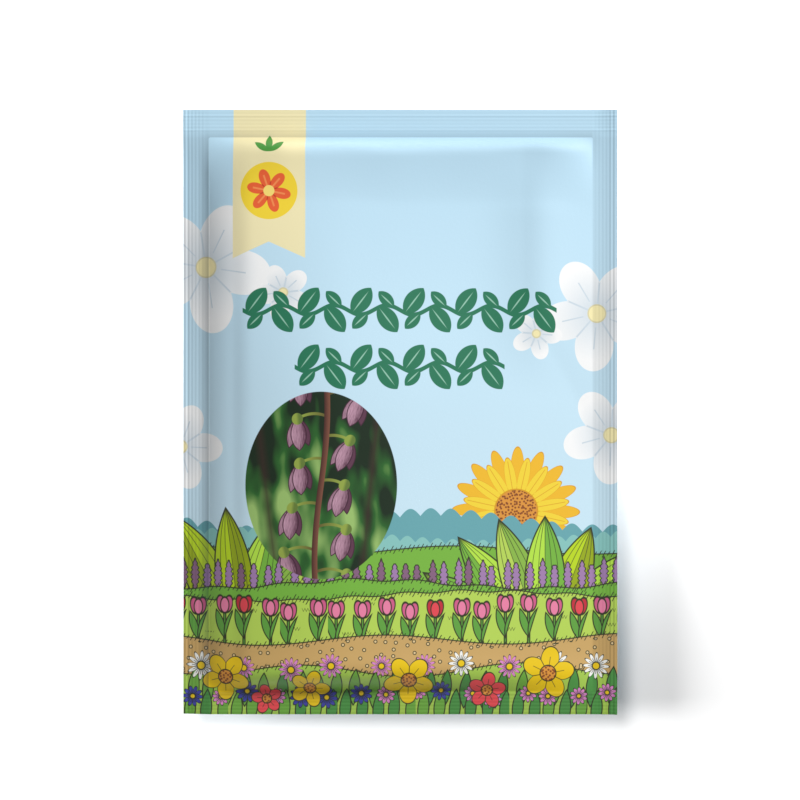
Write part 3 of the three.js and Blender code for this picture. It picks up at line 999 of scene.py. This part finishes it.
heights = np.array([face.center.y / MM for face in front_film.data.polygons])
for index, (low, high) in enumerate(BANDS):
    front_film.data.materials.append(print_band(f"front_print_{index + 1}", low, high))
    for face in np.flatnonzero((heights >= low) & (heights < high)):
        front_film.data.polygons[face].material_index = index

# Each band's inner wall and rim take the sealing layer, which stands as many places on in the list.
for _ in BANDS:
    front_film.data.materials.append(sealing_layer)
laminate = front_film.modifiers["laminate"]
laminate.material_offset = len(BANDS)
laminate.material_offset_rim = len(BANDS)
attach(front_film, "root")
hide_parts("front_web")


# The studio's floor, on which the packet is laid: a matt white board that runs on past the view. It is
# no part of the packet.
floor_grid = bmesh.new()
bmesh.ops.create_grid(floor_grid, x_segments=1, y_segments=1, size=6.0)
floor_mesh = bpy.data.meshes.new("floor")
floor_grid.to_mesh(floor_mesh)
floor_grid.free()
floor = bpy.data.objects.new("floor", floor_mesh)
bpy.context.scene.collection.objects.link(floor)
paint, shader, _ = start_material("floor_paint")
shader.inputs["Base Color"].default_value = (0.98, 0.98, 0.98, 1)
shader.inputs["Roughness"].default_value = 0.9
floor_mesh.materials.append(paint)


# The lights: round soft lamps, hung to the packet's right and left. One shines on the packet alone, and
# the others on the floor alone, where they give the packet a soft shadow towards the lower right. The
# places of lamps and spot are in metres.
def softbox(name, place, across, watts, lit):
    """A round soft light that faces the packet, and lights only the things that it is given."""
    light = bpy.data.lights.new(name, "AREA")
    light.shape = "DISK"
    light.size = across
    light.energy = watts
    lamp = bpy.data.objects.new(name, light)
    lamp.location = place
    lamp.rotation_euler = (-Vector(place)).to_track_quat("-Z", "Y").to_euler()
    lamp.light_linking.receiver_collection = bpy.data.collections.new(name + "_lights")
    for thing in lit:
        lamp.light_linking.receiver_collection.objects.link(thing)
    bpy.context.scene.collection.objects.link(lamp)


softbox("key", place=(2.05, 1.37, 1.71), across=0.9, watts=93.0, lit=(front_film, back_film))
softbox("low_light", place=(-2.62, 0.0, 1.12), across=1.1, watts=100.0, lit=(floor,))
softbox("high_light", place=(-1.0, 1.15, 2.58), across=1.3, watts=42.0, lit=(floor,))

# A spot straight above the floor at the packet's upper right corner. The packet throws no shadow in it.
spot = bpy.data.lights.new("spot", "SPOT")
spot.energy = 87.0
spot.spot_size = radians(17.4)
spot.spot_blend = 1.0
spot.shadow_soft_size = 0.05
lamp = bpy.data.objects.new("spot", spot)
lamp.location = (0.1, 0.105, 1.2)
for use in ("receiver_collection", "blocker_collection"):
    things = bpy.data.collections.new("spot_" + use)
    things.objects.link(floor)
    setattr(lamp.light_linking, use, things)
bpy.context.scene.collection.objects.link(lamp)

# A faint white light from all round, so that no shadow is black
world = bpy.data.worlds.new("studio")
world.use_nodes = True
background = world.node_tree.nodes["Background"]
background.inputs["Color"].default_value = (1, 1, 1, 1)
background.inputs["Strength"].default_value = 0.3
bpy.context.scene.world = world
bpy.context.scene.view_settings.view_transform = "Standard"

# The camera looks straight down, as square to the packet as the photograph. The frame's width is that of
# the view at the height of the seals, and its middle is a little above the packet's.
FRAME_WIDTH, VIEW_MIDDLE = 276.5, 4.15
LENS, SENSOR = 100, 36
camera_data = bpy.data.cameras.new("camera")
camera_data.lens = LENS
camera_data.sensor_width = SENSOR
camera = bpy.data.objects.new("camera", camera_data)
camera.location = (0, VIEW_MIDDLE * MM, (SEAL_PLANE + FRAME_WIDTH * LENS / SENSOR) * MM)
bpy.context.scene.collection.objects.link(camera)
bpy.context.scene.camera = camera

bpy.context.view_layer.update()
